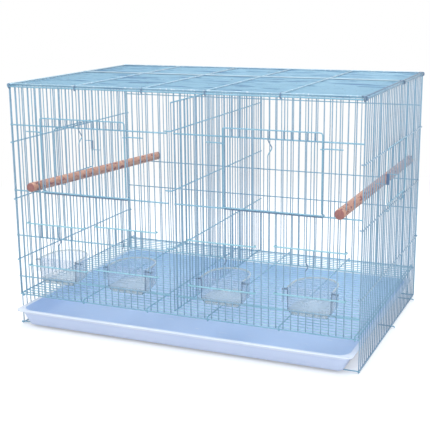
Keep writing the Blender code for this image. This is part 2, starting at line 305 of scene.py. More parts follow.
trayFinish = {
    "tone": (0.620, 0.705, 0.900, 1),
    "second": (0.575, 0.675, 0.890, 1),
    "scuff": (0.640, 0.715, 0.885, 1),
    # painted highlight: a paler tray plastic for the rim, the lip's underside and a band of wall below it
    "rim": (0.740, 0.800, 0.905, 1),
    # painted shade: a darker, bluer tray plastic for the inside, under the cage
    "inside": (0.470, 0.610, 0.865, 1),
    "insideSecond": (0.430, 0.590, 0.850, 1),
    "roughness": (0.34, 0.46),
}


def mouldedTray(name, tone, second):
    material, tree, shader = newMaterial(name)
    colour = placeGroup(tree, mottle, Tone=tone, Second=second, Scale=9.0, Amount=0.6)
    scuffs = placeGroup(tree, spots, Scale=55.0, Stretch=(1, 6, 6), Cover=0.36, Edge=0.10)
    scuffed = mixColour(tree, scuffs.outputs["Mask"], colour.outputs["Colour"], trayFinish["scuff"])
    tree.links.new(scuffed, shader.inputs["Base Color"])
    tree.links.new(rangeOf(tree, scuffs.outputs["Mask"], *trayFinish["roughness"]), shader.inputs["Roughness"])
    moulded = placeGroup(tree, skin, Scale=260.0, Depth=1.0)
    addBump(tree, shader, moulded.outputs["Height"], 0.0003, 0.25)
    return material


trayPlastic = mouldedTray("trayPlastic", trayFinish["tone"], trayFinish["second"])
# painted highlight on the rim's copy of the plastic, painted shade on the inside's
trayRim = mouldedTray("trayRim", trayFinish["rim"], trayFinish["tone"])
trayInside = mouldedTray("trayInside", trayFinish["inside"], trayFinish["insideSecond"])

# clear plastic: its tone, how dense it is seen face on and edge on, and how much of it gleams
cupFinish = {
    "walls": ((0.45, 0.57, 0.73, 1), 0.15, 0.40, 0.25),
    # painted shade: dense dark plastic for the cups' front corners and the ears' top edges, where the clear walls
    # turn
    "edges": ((0.140, 0.215, 0.295, 1), 0.66, 0.86, 0.0),
    "rim": ((0.590, 0.660, 0.650, 1), 0.42, 0.70, 0.3),
    "base": ((0.450, 0.545, 0.590, 1), 0.36, 0.52, 1.0),
}
gleamTone = (0.86, 0.88, 0.88, 1)


def clearPlastic(name, tone, faceOn, edgeOn, gleam):
    material, tree, shader = newMaterial(name)
    dusty = tuple(min(1.0, part * 1.25) for part in tone[:3]) + (1,)
    colour = placeGroup(tree, mottle, Tone=tone, Second=dusty, Scale=42.0, Amount=0.6)
    gleams = placeGroup(tree, spots, Scale=75.0, Stretch=(1, 1, 1), Cover=0.34, Edge=0.05)
    bright = rangeOf(tree, gleams.outputs["Mask"], 0.0, gleam)
    tree.links.new(mixColour(tree, bright, colour.outputs["Colour"], gleamTone), shader.inputs["Base Color"])
    haze = placeGroup(tree, spots, Scale=120.0, Stretch=(1, 1, 2), Cover=0.42, Edge=0.12)
    tree.links.new(rangeOf(tree, haze.outputs["Mask"], 0.08, 0.22), shader.inputs["Roughness"])
    grazing = addNode(tree, "ShaderNodeLayerWeight", Blend=0.30)
    tree.links.new(rangeOf(tree, grazing.outputs["Facing"], faceOn, edgeOn), shader.inputs["Alpha"])
    moulded = placeGroup(tree, skin, Scale=60.0, Depth=1.0)
    addBump(tree, shader, moulded.outputs["Height"], 0.0002, 0.08)
    return material


clearPlastics = [clearPlastic("clear" + label.capitalize(), *finish) for label, finish in cupFinish.items()]

woodFinish = {
    "tone": (0.490, 0.240, 0.175, 1),
    "second": (0.570, 0.325, 0.235, 1),
    "streak": (0.640, 0.400, 0.310, 1),
    "mark": (0.215, 0.075, 0.105, 1),
    "end": (0.262, 0.108, 0.118, 1),
    "roughness": (0.42, 0.60),
    "endRoughness": (0.55, 0.75),
}
perchWood, tree, shader = newMaterial("perchWood")
colour = placeGroup(tree, mottle, Tone=woodFinish["tone"], Second=woodFinish["second"], Scale=85.0, Amount=0.9)
marks = placeGroup(tree, spots, Scale=210.0, Stretch=(1.0, 0.45, 1.0), Cover=0.44, Edge=0.06)
streaks = placeGroup(tree, spots, Scale=420.0, Stretch=(1.0, 0.08, 1.0), Cover=0.50, Edge=0.16)
streaked = rangeOf(tree, streaks.outputs["Mask"], 0.0, 0.45)
grained = mixColour(tree, streaked, colour.outputs["Colour"], woodFinish["streak"])
marked = rangeOf(tree, marks.outputs["Mask"], 0.0, 0.8)
tree.links.new(mixColour(tree, marked, grained, woodFinish["mark"]), shader.inputs["Base Color"])
tree.links.new(rangeOf(tree, marks.outputs["Mask"], *woodFinish["roughness"]), shader.inputs["Roughness"])
fibre = placeGroup(tree, skin, Scale=600.0, Stretch=(1.0, 0.06, 1.0), Depth=1.0)
addBump(tree, shader, fibre.outputs["Height"], 0.0005, 0.5)

sawnEnd, tree, shader = newMaterial("sawnEnd")
colour = placeGroup(tree, mottle, Tone=woodFinish["end"], Second=woodFinish["tone"], Scale=300.0, Amount=0.5)
tree.links.new(colour.outputs["Colour"], shader.inputs["Base Color"])
tree.links.new(rangeOf(tree, colour.outputs["Clouds"], *woodFinish["endRoughness"]), shader.inputs["Roughness"])
fibre = placeGroup(tree, skin, Scale=1400.0, Depth=1.0)
addBump(tree, shader, fibre.outputs["Height"], 0.0003, 0.5)

latchFinish = {
    "tone": (0.110, 0.205, 0.390, 1),
    "second": (0.150, 0.270, 0.450, 1),
    "roughness": (0.28, 0.42),
    "metallic": 0.3,
}
latchSteel, tree, shader = newMaterial("latchSteel")
colour = placeGroup(tree, mottle, Tone=latchFinish["tone"], Second=latchFinish["second"], Scale=160.0, Amount=0.8)
tree.links.new(colour.outputs["Colour"], shader.inputs["Base Color"])
tree.links.new(rangeOf(tree, colour.outputs["Clouds"], *latchFinish["roughness"]), shader.inputs["Roughness"])
shader.inputs["Metallic"].default_value = latchFinish["metallic"]
drawn = placeGroup(tree, skin, Scale=1500.0, Depth=1.0)
addBump(tree, shader, drawn.outputs["Height"], 0.0001, 0.3)
print("finishes are made")


# wires
def bent(points, bend=None, steps=4):
    points = [Vector(point) for point in points]
    bends = bend if isinstance(bend, tuple) else (bend or cage["bend"],) * len(points)
    route = [points[0]]
    for before, corner, after, bend in zip(points, points[1:], points[2:], bends):
        behind, ahead = before - corner, after - corner
        if behind.length < 1e-6 or ahead.length < 1e-6:
            continue
        reach = min(bend, behind.length * 0.49, ahead.length * 0.49)
        start = corner + behind.normalized() * reach
        end = corner + ahead.normalized() * reach
        for step in range(steps + 1):
            t = step / steps
            route.append(start * (1 - t) ** 2 + corner * (2 * t * (1 - t)) + end * t ** 2)
    route.append(points[-1])
    return route


def stray(start, end, bow, stations=3):
    start, end = Vector(start), Vector(end)
    along = (end - start).normalized()
    aside = along.orthogonal().normalized()
    other = along.cross(aside)
    turn = random.uniform(0, tau)
    push = (aside * cos(turn) + other * sin(turn)) * random.uniform(0.2, 1.0) * bow
    route = []
    for station in range(stations + 2):
        t = station / (stations + 1)
        route.append(start.lerp(end, t) + push * sin(pi * t))
    return route


class wireBundle:
    def __init__(self, sides=8):
        self.sides = sides
        self.points = []
        self.faces = []
        self.slots = []

    def sweep(self, route, radius, slot=0):
        route = [Vector(point) for point in route]
        clean = [route[0]]
        for point in route[1:]:
            if (point - clean[-1]).length > 1e-5:
                clean.append(point)
        route = clean
        tangents = []
        for number in range(len(route)):
            before = route[max(number - 1, 0)]
            after = route[min(number + 1, len(route) - 1)]
            tangents.append((after - before).normalized())
        first, last = tangents[0], tangents[-1]
        stations = [(route[0], first, 0.6), (route[0] + first * radius * 0.5, first, 1.0)]  # rounded ends
        stations += [(point, tangent, 1.0) for point, tangent in zip(route[1:-1], tangents[1:-1])]
        stations += [(route[-1] - last * radius * 0.5, last, 1.0), (route[-1], last, 0.6)]
        normal = first.orthogonal().normalized()
        base = len(self.points)
        for place, tangent, share in stations:
            normal = (normal - tangent * normal.dot(tangent)).normalized()
            other = tangent.cross(normal)
            for turn in range(self.sides):
                angle = tau * turn / self.sides
                self.points.append(place + (normal * cos(angle) + other * sin(angle)) * radius * share)
        rings = len(stations)
        for ring in range(rings - 1):
            for turn in range(self.sides):
                after = (turn + 1) % self.sides
                low, high = base + ring * self.sides, base + (ring + 1) * self.sides
                self.faces.append((low + turn, low + after, high + after, high + turn))
                self.slots.append(slot)
        self.faces.append(tuple(base + turn for turn in reversed(range(self.sides))))
        self.faces.append(tuple(base + (rings - 1) * self.sides + turn for turn in range(self.sides)))
        self.slots += [slot, slot]

    def wire(self, start, end, bow=None, slot=0):
        self.sweep(stray(start, end, cage["bow"] if bow is None else bow), thin, slot)

    def rail(self, *points, radius=None, slot=1):
        self.sweep(bent(points), radius or thick, slot)


def finishPiece(name, points, faces, materials, body, nodes, slots=None):
    mesh = bpy.data.meshes.new(name)
    mesh.from_pydata([tuple(point) for point in points], [], faces)
    for material in materials:
        mesh.materials.append(material)
    if slots:
        mesh.polygons.foreach_set("material_index", slots)
    mesh.shade_smooth()
    mesh.set_sharp_from_angle(angle=radians(52))
    mesh.update()
    piece = bpy.data.objects.new(name, mesh)
    bpy.context.scene.collection.objects.link(piece)
    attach(piece, body)
    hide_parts(*nodes)
    return piece


# a wire's slot: 0 upright, 1 rail, 2 darker coat for painted shade, 3 faint paler coat for painted light
def finishWires(name, bundle, body, node, uprights=None, rails=None):
    coats = (uprights or wireCoat, rails or railCoat, paintedShadeCoat, faintCoat)
    return finishPiece(name, bundle.points, bundle.faces, coats, body, (node,), bundle.slots)


# a rod whose ends turn back round two uprights, so that it slides on them
def grippingRod(left, right, y, height, inside):
    route = []
    for upright, way in ((left, -1), (right, 1)):
        beyond = across(upright) + way * beside
        end = [
            (across(upright), y, height),
            (beyond, y, height),
            (beyond, inside, height),
            (across(upright) - way * 0.0010, inside, height),
        ]
        route = end[::-1] if way < 0 else route + end
    return bent(route, cage["hookBend"])


frontPanel = {
    "rails": (0.0552, 0.0881, 0.1624, 0.2421, 0.3552, 0.4193),
    "mainJambs": ((5, 18), (32, 45)),
    "feederJambs": ((3, 10), (14, 21), (28, 35), (40, 47)),
    "slot": (24, 25),
    "uprightIn": 0.0004,
    "uprightPast": (0.0016, 0.0004),  # below the floor rail and above the top rail
    "railOut": 0.0014,
    "topRailShare": 1.12,
    "shadedDrop": 0.0005,  # the sill under a main door lies in the door's shade
    "shadedRail": 0.0016,
    "guideHeight": 0.3450,
    "guideReach": 2.4,
    "doorOut": 0.0052,
}
frontRails = frontPanel["rails"]
floorRail, feederSill, feederHead, doorSill, doorHead = frontRails[:5]
mainJambs = frontPanel["mainJambs"]
feederJambs = frontPanel["feederJambs"]


def makeFrontPanel():
    bundle = wireBundle()
    y = front + frontPanel["uprightIn"]
    railY = front - frontPanel["railOut"]
    slotLeft, slotRight = (across(gap) for gap in frontPanel["slot"])
    # painted shade: rail lengths under the cups take the darker upright coat, and the sills under the main doors
    # the dark shaded coat
    shadedBy = {1: feederJambs, 3: mainJambs}  # by the cups, and by the doors
    for number, height in enumerate(frontRails):
        if number in (0, 5):
            radius = thick * (frontPanel["topRailShare"] if number else 1.0)
            bundle.rail((-side - railPast, railY, height), (side + railPast, railY, height), radius=radius)
            continue
        shadedSpans = [(across(left), across(right)) for left, right in shadedBy.get(number, ())]
        ends = [-side - railPast, slotLeft + railPast, slotRight - railPast, side + railPast]
        ends = sorted(ends + [end for pair in shadedSpans for end in pair])
        for start, end in zip(ends, ends[1:]):
            if end - start < pitch:  # the divider's slot stays open
                continue
            inShade = any(left - 0.001 < start and end < right + 0.001 for left, right in shadedSpans)
            shaded = number == 3 and inShade
            level = height - (frontPanel["shadedDrop"] if shaded else 0.0)
            radius = frontPanel["shadedRail"] if shaded else thick
            slot = 2 if shaded else 0 if inShade else 1
            bundle.rail((start, railY, level), (end, railY, level), radius=radius, slot=slot)
    below, over = frontPanel["uprightPast"]
    for count in range(cage["gapsAcross"] + 1):
        x = across(count)
        cuts = []
        if any(left < count < right for left, right in feederJambs):
            cuts.append((feederSill, feederHead))
        if any(left < count < right for left, right in mainJambs):
            cuts.append((doorSill, doorHead))
        low = floorRail - below
        for cutLow, cutHigh in cuts:
            bundle.wire((x, y, low), (x, y, cutLow + weldPast))
            low = cutHigh - weldPast
        bundle.wire((x, y, low), (x, y, topRail + over))
    # guides for the main doors, which reach round the doors' side rods
    height = frontPanel["guideHeight"]
    doorY = front - frontPanel["doorOut"]
    onPanel = front - 0.0018
    far = doorY - beside
    for jambs in mainJambs:
        for jamb, way in zip(jambs, (-1, 1)):
            outer = across(jamb) + way * beside
            inner = across(jamb) - way * beside
            bundle.rail(
                (across(jamb + way * frontPanel["guideReach"]) + way * 0.0012, onPanel, height),
                (outer + way * 0.0015, onPanel, height),
                (outer, far, height),
                (inner, far, height),
                (inner, doorY + 0.0010, height - 0.0006),
                radius=thin * 1.1,
            )
    return finishWires("frontPanelWires", bundle, "cage", "front_panel")


backPanel = {
    "rails": (0.0552, 0.1713, 0.2256, 0.3644),
    "rail": 0.00100,
    "postOut": 0.0034,
    "post": 0.00090,
}


def makeBackPanel():
    bundle = wireBundle()
    bundle.rail((-side, back, bottomRail), (side, back, bottomRail))
    bundle.rail((-side, back, topRail), (side, back, topRail))
    for count in range(cage["gapsAcross"] + 1):
        x = across(count)
        # painted light: the leftmost upright, at the back-left corner, takes the faint paler coat
        bundle.wire((x, back, bottomRail), (x, back, topRail), slot=0 if count else 3)
    outside = back + backPanel["postOut"]
    for x in (-side, side):
        post = [(x, back, bottomRail), (x, outside, bottomRail), (x, outside, topRail), (x, back, topRail)]
        # painted light: the left post takes the faint paler coat
        bundle.sweep(bent(post), backPanel["post"], 3 if x < 0 else 0)
    for height in backPanel["rails"]:
        railY = back + layer
        bundle.rail((-side, railY, height), (side, railY, height), radius=backPanel["rail"])
    # painted light: the back panel's uprights take the paler coat
    return finishWires("backPanelWires", bundle, "cage", "back_panel", uprights=paleCoat)


sidePanel = {
    "lowRail": 0.1180,
    "nestSill": 0.2261,
    "nestHead": 0.3247,
    "nestJambs": (11, 22),
    "railOut": 0.0019,
    "railShare": 0.92,
    "railBend": 0.0024,
    "stub": 0.0070,  # how far the cut uprights stand over the nest sill
}
nestSill = sidePanel["nestSill"]
nestHead = sidePanel["nestHead"]
nestJambs = sidePanel["nestJambs"]


def makeSidePanel(name, node, way):
    bundle = wireBundle()
    plane = way * side
    outside = way * (side + sidePanel["railOut"])
    bundle.rail((plane, firstDeep - 0.0010, topRail), (plane, lastDeep + 0.0010, topRail))
    bundle.rail((plane, front, bottomRail), (plane, lastDeep, bottomRail))
    for count in range(cage["gapsDeep"] + 1):
        y = deep(count)
        if nestJambs[0] < count < nestJambs[1]:
            bundle.wire((plane, y, bottomRail), (plane, y, nestSill + sidePanel["stub"]))
            bundle.wire((plane, y, nestHead - weldPast), (plane, y, topRail))
        else:
            # painted light: the left panel's last upright, at the back corner, takes the faint paler coat
            faint = way < 0 and count == cage["gapsDeep"]
            bundle.wire((plane, y, bottomRail), (plane, y, topRail), slot=3 if faint else 0)
    # rails whose ends turn round the front and back panels' corners
    roundIn = way * (side - beside)
    roundOut = way * (side + beside)
    behind = back + layer + beside
    for height in (sidePanel["lowRail"], nestSill, nestHead):
        route = [
            (roundIn, front + railPast, height),
            (roundIn, front - beside, height),
            (roundOut, front - beside, height),
            (outside, firstDeep, height),
        ]
        if height == nestSill:
            route.append((outside, lastDeep + 0.0012, height))
        else:
            route += [
                (outside, lastDeep, height),
                (roundOut, behind, height),
                (roundIn, behind, height),
                (roundIn, back - railPast, height),
            ]
        bundle.sweep(bent(route, sidePanel["railBend"]), thick * sidePanel["railShare"], 1)
    # painted light on the left panel's uprights, which take the paler coat; painted shade on the right panel's
    # rails, which take the darker plain coat
    coats = {"uprights": paleCoat} if way < 0 else {"rails": wireCoat}
    return finishWires(name, bundle, "cage", node, **coats)


roofPanel = {
    "uneven": 0.0011,  # how far the roof's wires stray from their places
    "bow": 0.0009,
    "tieRadius": 0.00112,
    "tieUp": 0.00200,
    "tieIn": 0.0035,  # where a tie rod's hook begins
    "edgeIn": 0.0008,
    "hook": 0.00128,
    "hookLap": 0.0004,
    "crossGaps": (0, 20, 33),
    "loop": 0.00130,
    "loopIn": 0.0060,
    "loopOut": 0.0028,
    "loopDrop": 0.0006,
    "loopBend": 0.0018,
}


# the end of a tie rod: over a rail, down and back under it
def hookDown(x, y, height, railY, railZ, way):
    reach = railY + way * beside
    lap = way * roofPanel["hookLap"]
    return [(x, y, height), (x, reach + lap, height), (x, reach, railZ - beside), (x, railY - lap, railZ - beside)]


def makeRoof():
    bundle = wireBundle()
    plane = topRail + beside
    tie = plane + roofPanel["tieUp"]
    depth = back - front
    for count in range(cage["gapsDeep"] + 1):
        y = front + depth * count / cage["gapsDeep"]
        if 0 < count < cage["gapsDeep"]:
            y += random.uniform(-1, 1) * roofPanel["uneven"]
            drift = random.uniform(-0.5, 0.5) * roofPanel["uneven"]
            sway = random.uniform(-1, 1) * roofPanel["bow"]
            route = []
            for step in range(9):
                t = step / 4 - 1  # from -1 on the left to 1 on the right
                route.append((side * t, y + drift * t + sway * sin(pi * step / 4), plane))
            bundle.sweep(route, thin, 0)
        else:
            bundle.wire((-side, y, plane), (side, y, plane), bow=0.0003)
    # painted light on the left side rail (faint coat), painted shade on the right one (darker roof coat)
    for x, slot in ((-side, 3), (side, 0)):
        bundle.rail((x, front, plane), (x, back, plane), slot=slot)
    near, far = front + roofPanel["tieIn"], back - roofPanel["tieIn"]
    for gap in cage["tieGaps"]:
        x = across(gap)
        if abs(x) > side - pitch:  # the outer rods lie over the edges
            x = (side - roofPanel["edgeIn"]) * (1 if x > 0 else -1)
        # painted shade on the right edge's tie rod and back hook, painted light on the left edge's; the others
        # take the tie coat's painted highlights
        shade = 2 if x > side - pitch else 3 if x < pitch - side else 1
        bundle.sweep([(x, near, tie), (x, far, tie)], roofPanel["tieRadius"], shade)
        frontHook = bent(hookDown(x, near, tie, front, topRail, -1), cage["hookBend"])
        backHook = bent(hookDown(x, far, tie, back, topRail, 1), cage["hookBend"])
        # painted shade: the front hooks take the dark shaded coat
        bundle.sweep(frontHook, roofPanel["hook"], 2)
        bundle.sweep(backHook, roofPanel["hook"], shade)
    # cross rods, whose ends loop round the side rails
    inner, outer = side - roofPanel["loopIn"], side + roofPanel["loopOut"]
    low = topRail - roofPanel["loopDrop"]
    for gap in roofPanel["crossGaps"]:
        y = front + depth * gap / cage["gapsDeep"]
        # painted light: the middle cross rod takes the faint paler coat, against its shade
        slot = 3 if 0 < gap < cage["gapsDeep"] else 1
        bundle.sweep([(-inner, y, tie), (inner, y, tie)], roofPanel["tieRadius"], slot)
        for way in (-1, 1):
            under = way * (side - roofPanel["loopDrop"])
            loop = [(way * inner, y, tie), (way * outer, y, tie), (way * outer, y, low), (under, y, low)]
            # painted shade on the right loops (dark shaded coat), painted highlights on the left ones (tie coat)
            bundle.sweep(bent(loop, roofPanel["loopBend"]), roofPanel["loop"], 2 if way > 0 else 1)
    return finishWires("roofWires", bundle, "cage", "roof_panel", uprights=roofCoat, rails=tieCoat)


def makeFloorGrate():
    bundle = wireBundle()
    plane = floorRail + beside
    tie = plane + roofPanel["tieUp"]
    edge = side - beside
    near, far = front + beside, back - beside
    for count in range(cage["gapsDeep"] + 1):
        y = near + (far - near) * count / cage["gapsDeep"]
        bundle.wire((-edge, y, plane), (edge, y, plane), bow=0.0003)
    for x in (-edge, edge):
        bundle.rail((x, near, plane), (x, far, plane))
    for gap in cage["tieGaps"]:
        x = across(gap)
        frontHook = hookDown(x, near, tie, front, floorRail, -1)
        backHook = hookDown(x, far, tie, back + layer, floorRail, 1)
        bundle.sweep(bent(frontHook[::-1] + backHook, cage["hookBend"]), roofPanel["tieRadius"], 1)
    return finishWires("floorGrateWires", bundle, "cage", "floor_grate", uprights=grateCoat)


# wires that carry the tray: where each lies and how far it stands past the sides
runners = {
    "front": (front, 0.0018),
    "middle": (deep(17.5), 0.0070),
    "back": (deep(30.5), 0.0070),
}
runnerRadius = 0.0010


def makeRunners():
    over = bottomRail + beside - 0.0002
    for label, (y, past) in runners.items():
        bundle = wireBundle()
        tip = side + past
        route = ((-tip, y, bottomRail), (-tip, y, over), (tip, y, over), (tip, y, bottomRail))
        bundle.rail(*route, radius=runnerRadius)
        finishWires("trayRunner" + label.capitalize(), bundle, "cage", "tray_runner_" + label)


makeFrontPanel()
makeBackPanel()
makeSidePanel("leftPanelWires", "left_panel", -1)
makeSidePanel("rightPanelWires", "right_panel", 1)
makeRoof()
makeFloorGrate()
makeRunners()
print("the wire box stands")

# main doors
mainDoor = {
    "top": 0.3690,
    "bottom": 0.2446,
    "frame": 0.00106,
    "hookRod": 0.00112,
    "kinkWires": (11, 38),
    "kink": (  # height, and how far to the right
        (0.3300, 0.0000),
        (0.3322, 0.0007),
        (0.3408, 0.0061),
        (0.3425, 0.0066),
        (0.3441, 0.0059),
        (0.3530, 0.0006),
        (0.3548, 0.0000),
    ),
    "corners": (0.0026, 0.0050),
}


def makeMainDoor(number, label):
    left, right = mainJambs[number]
    node = "main_door_" + label
    bundle = wireBundle()
    y = front - frontPanel["doorOut"]
    low, high = mainDoor["bottom"], mainDoor["top"]
    leftX, rightX, foot = across(left), across(right), low + 0.002
    frameRod = [(leftX, y, foot), (leftX, y, high), (rightX, y, high), (rightX, y, foot)]
    bundle.sweep(bent(frameRod, mainDoor["corners"]), mainDoor["frame"], 1)
    bundle.sweep(grippingRod(left, right, y, low - 0.0003, front + beside), mainDoor["hookRod"], 1)
    for count in range(left + 1, right):
        x = across(count)
        if count in mainDoor["kinkWires"]:
            kink = [(x + out, y, height) for height, out in mainDoor["kink"]]
            bundle.sweep([(x, y, low), kink[0]], thin, 0)
            # painted shade: the upper half of each kink takes the dark shaded coat
            bundle.sweep(bent(kink[:4], cage["kinkBend"]), thin, 1)
            bundle.sweep(bent(kink[3:], cage["kinkBend"]), thin, 2)
            bundle.sweep([kink[-1], (x, y, high)], thin, 0)
        else:
            bundle.wire((x, y, low), (x, y, high), bow=0.0003)
    return finishWires("mainDoor" + label.capitalize(), bundle, node, node)


# feeder doors
feederDoor = {
    "out": 0.0036,
    "bottoms": (0.1105, 0.1160, 0.1094, 0.1136),
    "tall": 0.0755,
    "rod": 0.00114,
    "kinkWires": (7, 17, 32, 43),
    "kinkDrop": 0.0320,
    "kink": ((-0.0020, 0.0), (0.0020, 0.0024), (0.0055, 0.0042), (0.0090, 0.0024), (0.0125, 0.0)),
}


def makeFeederDoor(number):
    left, right = feederJambs[number]
    node = "feeder_door_%d" % (number + 1)
    bundle = wireBundle()
    y = front - feederDoor["out"]
    low = feederDoor["bottoms"][number]
    high = low + feederDoor["tall"]
    for height in (low, high):
        rod = grippingRod(left - 1, right + 1, y, height, front + beside + 0.0003)
        bundle.sweep(rod, feederDoor["rod"], 1)
    for count in range(left + 1, right):
        x = across(count)
        if count in feederDoor["kinkWires"]:
            base = high - feederDoor["kinkDrop"]
            kink = [(x + out, y, base + rise) for rise, out in feederDoor["kink"]]
            bundle.sweep([(x, y, low), kink[0]], thin, 0)
            # painted shade: the kinks take the dark shaded coat
            bundle.sweep(bent(kink, cage["kinkBend"]), thin, 2)
            bundle.sweep([kink[-1], (x, y, high)], thin, 0)
        else:
            bundle.wire((x, y, low), (x, y, high), bow=0.0002)
    # painted highlight: the feeder doors' rods take the brighter coat
    return finishWires("feederDoorWires%d" % (number + 1), bundle, node, node, rails=brightCoat)


divider = {
    "gap": 24.5,
    "low": 0.0602,
    "top": 0.4030,
    "mids": (0.1668, 0.2630, 0.3586),
    "out": 0.0034,
    "bend": 0.0030,
    "railShare": 0.92,
}


def makeDivider():
    bundle = wireBundle()
    x = across(divider["gap"])
    low, top = divider["low"], divider["top"]
    farEnd = lastDeep + railPast
    for height in (low, top):
        bundle.rail((x, firstDeep - railPast, height), (x, farEnd, height))
    for count in range(cage["gapsDeep"] + 1):
        bundle.wire((x, deep(count), low), (x, deep(count), top))
    # middle rods, which reach out through the slot and catch on its left wire
    railX = x + layer
    reach = front - divider["out"]
    catch = across(frontPanel["slot"][0]) - beside
    for height in divider["mids"]:
        route = [
            (railX, farEnd, height),
            (railX, reach, height),
            (catch, reach, height),
            (catch, front - 0.0006, height),
        ]
        bundle.sweep(bent(route, divider["bend"]), thick * divider["railShare"], 1)
    return finishWires("dividerWires", bundle, "divider", "divider")


# nest doors and their latches
nestDoor = {
    "out": 0.0046,
    "topLap": 0.0032,
    "bottomLap": 0.0100,
    "frame": 0.00108,
    "corner": 0.0055,
    "loops": (12.5, 20.5),
    "loopBend": 0.0042,
}
nestLatch = {
    "low": 0.2680,
    "high": 0.2880,
    "coil": 0.0021,
    "coilIn": 0.0012,  # how far inside low and high the coil ends
    "wire": 0.00062,
    "turns": 11,
    "turnSteps": 12,
    "arm": 0.0148,
    "catch": 0.0200,
    "armShare": 1.25,
    "armBend": 0.0010,
    "places": {"left": (22, -1), "right": (11, 1)},  # jamb, and the way along the door
}


def makeNestDoor(label, way):
    node = "nest_door_" + label
    bundle = wireBundle()
    plane = way * (side + nestDoor["out"])
    inside = way * (side - nestDoor["out"])
    low = nestSill + nestDoor["bottomLap"]
    high = nestHead + nestDoor["topLap"]
    near, far = deep(nestJambs[0]), deep(nestJambs[1])
    middle = (near + far) / 2
    corners = ((middle, low), (near, low), (near, high), (far, high), (far, low), (middle, low))
    ring = [(plane, y, height) for y, height in corners]
    bundle.sweep(bent(ring, nestDoor["corner"], 6), nestDoor["frame"], 1)
    for count in range(nestJambs[0] + 1, nestJambs[1]):
        bundle.wire((plane, deep(count), low), (plane, deep(count), high), bow=0.0002)
    # loops round the sill, on which the door turns
    under, over = nestSill - nestDoor["out"], nestSill + nestDoor["out"]
    for gap in nestDoor["loops"]:
        y = deep(gap)
        loop = [(plane, y, low + 0.0008), (plane, y, under), (inside, y, under), (inside, y, over - 0.0012)]
        bundle.sweep(bent(loop, nestDoor["loopBend"], 6), thin, 1)
    return finishWires("nestDoor" + label.capitalize(), bundle, node, node)


# spring bolt: a coil on one side wire of the door, a lever out at the top and a catch in at the bottom
def makeNestLatch(label, way):
    node = "nest_latch_" + label
    gap, inward = nestLatch["places"][label]
    plane, y = way * (side + nestDoor["out"]), deep(gap)
    radius, wire = nestLatch["coil"], nestLatch["wire"]
    steps = nestLatch["turns"] * nestLatch["turnSteps"]
    bottom = nestLatch["low"] + nestLatch["coilIn"]
    climb = nestLatch["high"] - nestLatch["coilIn"] - bottom
    coil = []
    for step in range(steps + 1):
        turn = tau * step / nestLatch["turnSteps"]
        coil.append((plane + radius * cos(turn), y + inward * radius * sin(turn), bottom + climb * step / steps))
    top = coil[-1][2]
    lever = [
        (plane + way * nestLatch["arm"], y, top - 0.0006),
        (plane + way * 0.0040, y + inward * 0.0004, top),
        (plane + radius, y + inward * 0.0010, top),
    ]
    catch = [
        (plane, y + inward * radius, bottom),
        (plane - way * 0.0040, y + inward * 0.0030, bottom),
        (plane - way * nestLatch["catch"], y + inward * 0.0030, bottom + 0.0004),
    ]
    spring = wireBundle(6)
    spring.sweep(coil, wire, 0)
    for arm in (lever, catch):
        spring.sweep(bent(arm, nestLatch["armBend"]), wire * nestLatch["armShare"], 1)
    name = "nestLatch" + label.capitalize()
    steels = (latchSteel, railCoat)
    return finishPiece(name, spring.points, spring.faces, steels, node, (node,), spring.slots)


for number, label in enumerate(("left", "right")):
    makeMainDoor(number, label)
for number in range(4):
    makeFeederDoor(number)
makeDivider()
for label, way in (("left", -1), ("right", 1)):
    makeNestDoor(label, way)
    makeNestLatch(label, way)
print("doors, divider and latches hang")


# shells and lofts
def loft(rings):
    count = len(rings[0])
    points = [point for ring in rings for point in ring]
    faces = []
    for level in range(len(rings) - 1):
        for turn in range(count):
            after = (turn + 1) % count
            low, high = level * count, (level + 1) * count
            faces.append((low + turn, low + after, high + after, high + turn))
    faces.append(tuple(reversed(range(count))))
    faces.append(tuple((len(rings) - 1) * count + turn for turn in range(count)))
    return points, faces


def roundedRing(left, right, near, far, radius, height, steps):
    ring = []
    corners = (
        (right - radius, far - radius, 0),
        (left + radius, far - radius, 90),
        (left + radius, near + radius, 180),
        (right - radius, near + radius, 270),
    )
    for x, y, start in corners:
        for step in range(steps + 1):
            turn = radians(start + 90 * step / steps)
            ring.append((x + radius * cos(turn), y + radius * sin(turn), height))
    return ring


feederCup = {
    "halfWidth": 0.0370,
    "deep": 0.0700,
    "setBack": 0.0030,
    "wall": 0.0016,
    "corner": 0.0026,
    "innerCorner": 0.0012,
    "straight": 0.42,
    "roundSteps": 28,  # points 0 to 28 of a ring go round the bulge, the rest along the flat walls
    "strip": 0.0011,  # how far the darker corners run into the flat walls
    "darkTurns": {31, 32, 33, 34, 39, 40, 41},
    "frontTurns": range(30, 43),
    "profile": (  # height, and share of the full size
        (0.0800, 0.785),
        (0.0803, 0.805),
        (0.0874, 0.962),
        (0.0892, 0.972),
        (0.1000, 0.977),
        (0.1216, 0.988),
    ),
    "bead": ((0.1218, 1.0), (0.1240, 1.0)),
    "ear": (0.1000, 0.1220),
    "earHook": 0.0016,  # the ears' dark top edges
    "earTaper": 0.008,
    "shifts": (-0.0040, -0.0040, -0.0027, -0.0019),
}


